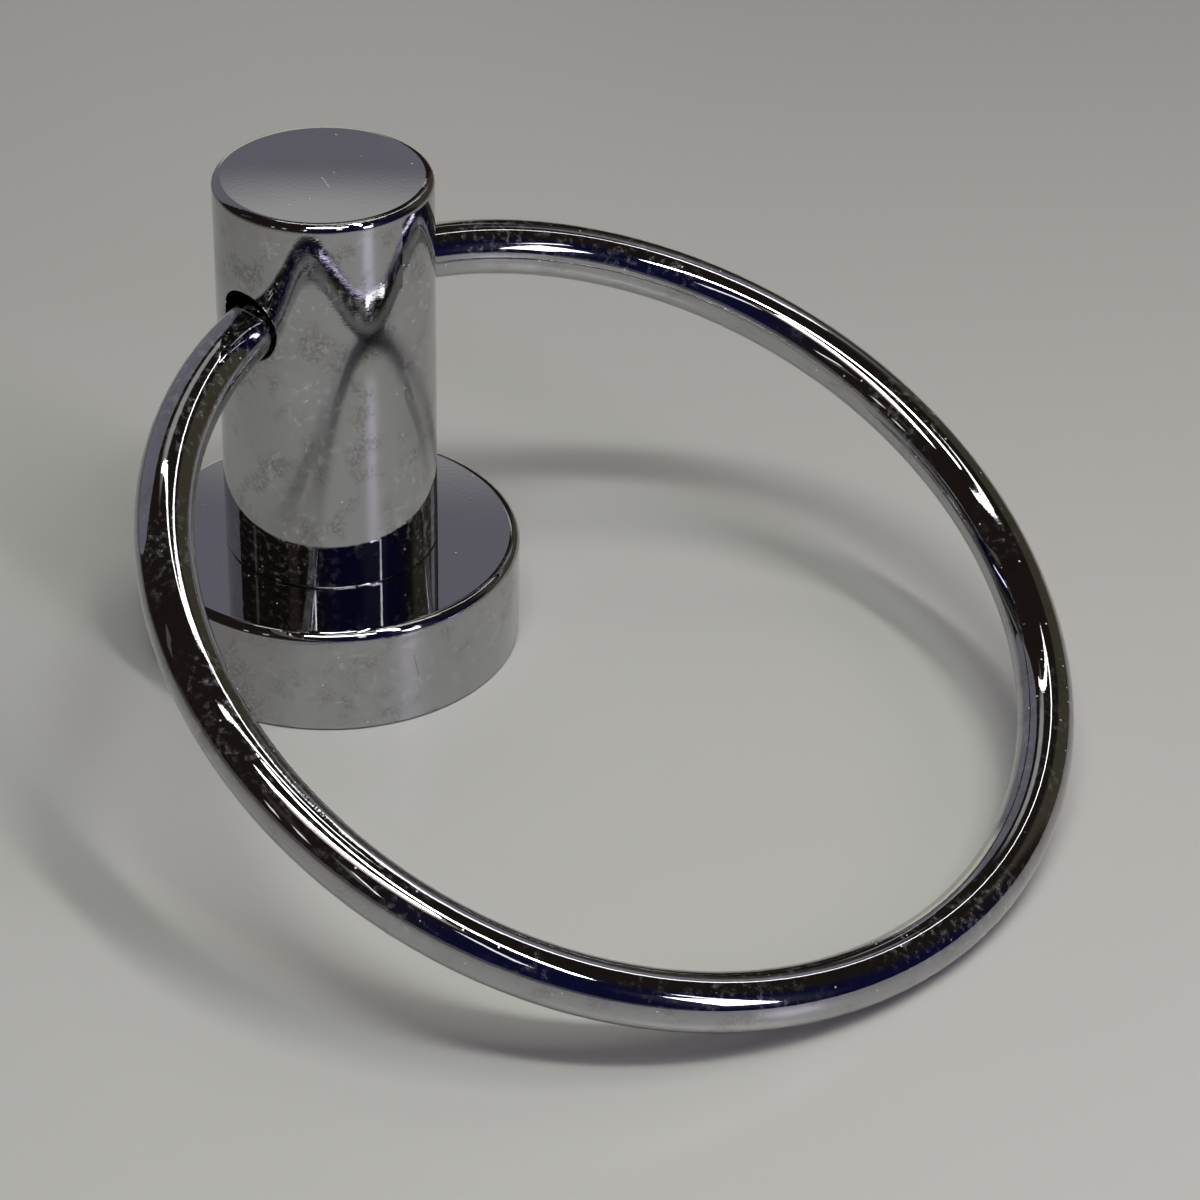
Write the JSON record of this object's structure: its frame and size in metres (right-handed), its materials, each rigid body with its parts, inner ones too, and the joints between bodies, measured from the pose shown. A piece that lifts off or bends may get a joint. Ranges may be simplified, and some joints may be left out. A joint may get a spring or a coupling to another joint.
{
  "type": "towel ring",
  "caption": "Chrome towel ring: a free-swinging closed round ring through a cross bore in a thick round post on a deep round wall flange with a concealed bracket.",
  "frame": {"origin": "centre of the flange's back face, in the wall's plane", "axes": "+Z along the post, away from the wall; Y along the cross bore that the ring swings in; +X the side to which the ring has dropped"},
  "size_m": [0.1787, 0.1652, 0.092],
  "materials": {
    "flange_chrome": "polished",
    "post_chrome": "polished",
    "ring_chrome": "polished",
    "screw_steel": "satin",
    "washer_steel": "satin",
    "pin_steel": "satin",
    "bracket_steel": "satin",
    "grub_steel": "satin"
  },
  "bodies": {
    "root": {"flange": "flange_chrome", "post": "post_chrome", "post_screw": "screw_steel", "lock_washer": "washer_steel", "plain_washer": "washer_steel", "locating_pin": "pin_steel", "wall_bracket": "bracket_steel", "grub_screw": "grub_steel"},
    "ring": {"ring": "ring_chrome"}
  },
  "joints": [
    {"name": "ring_swing", "type": "hinge", "parent": "root", "child": "ring", "pos_m": [0, 0, 0.07], "axis": [0, -1, 0], "range_deg": [0, 229.86]}
  ]
}
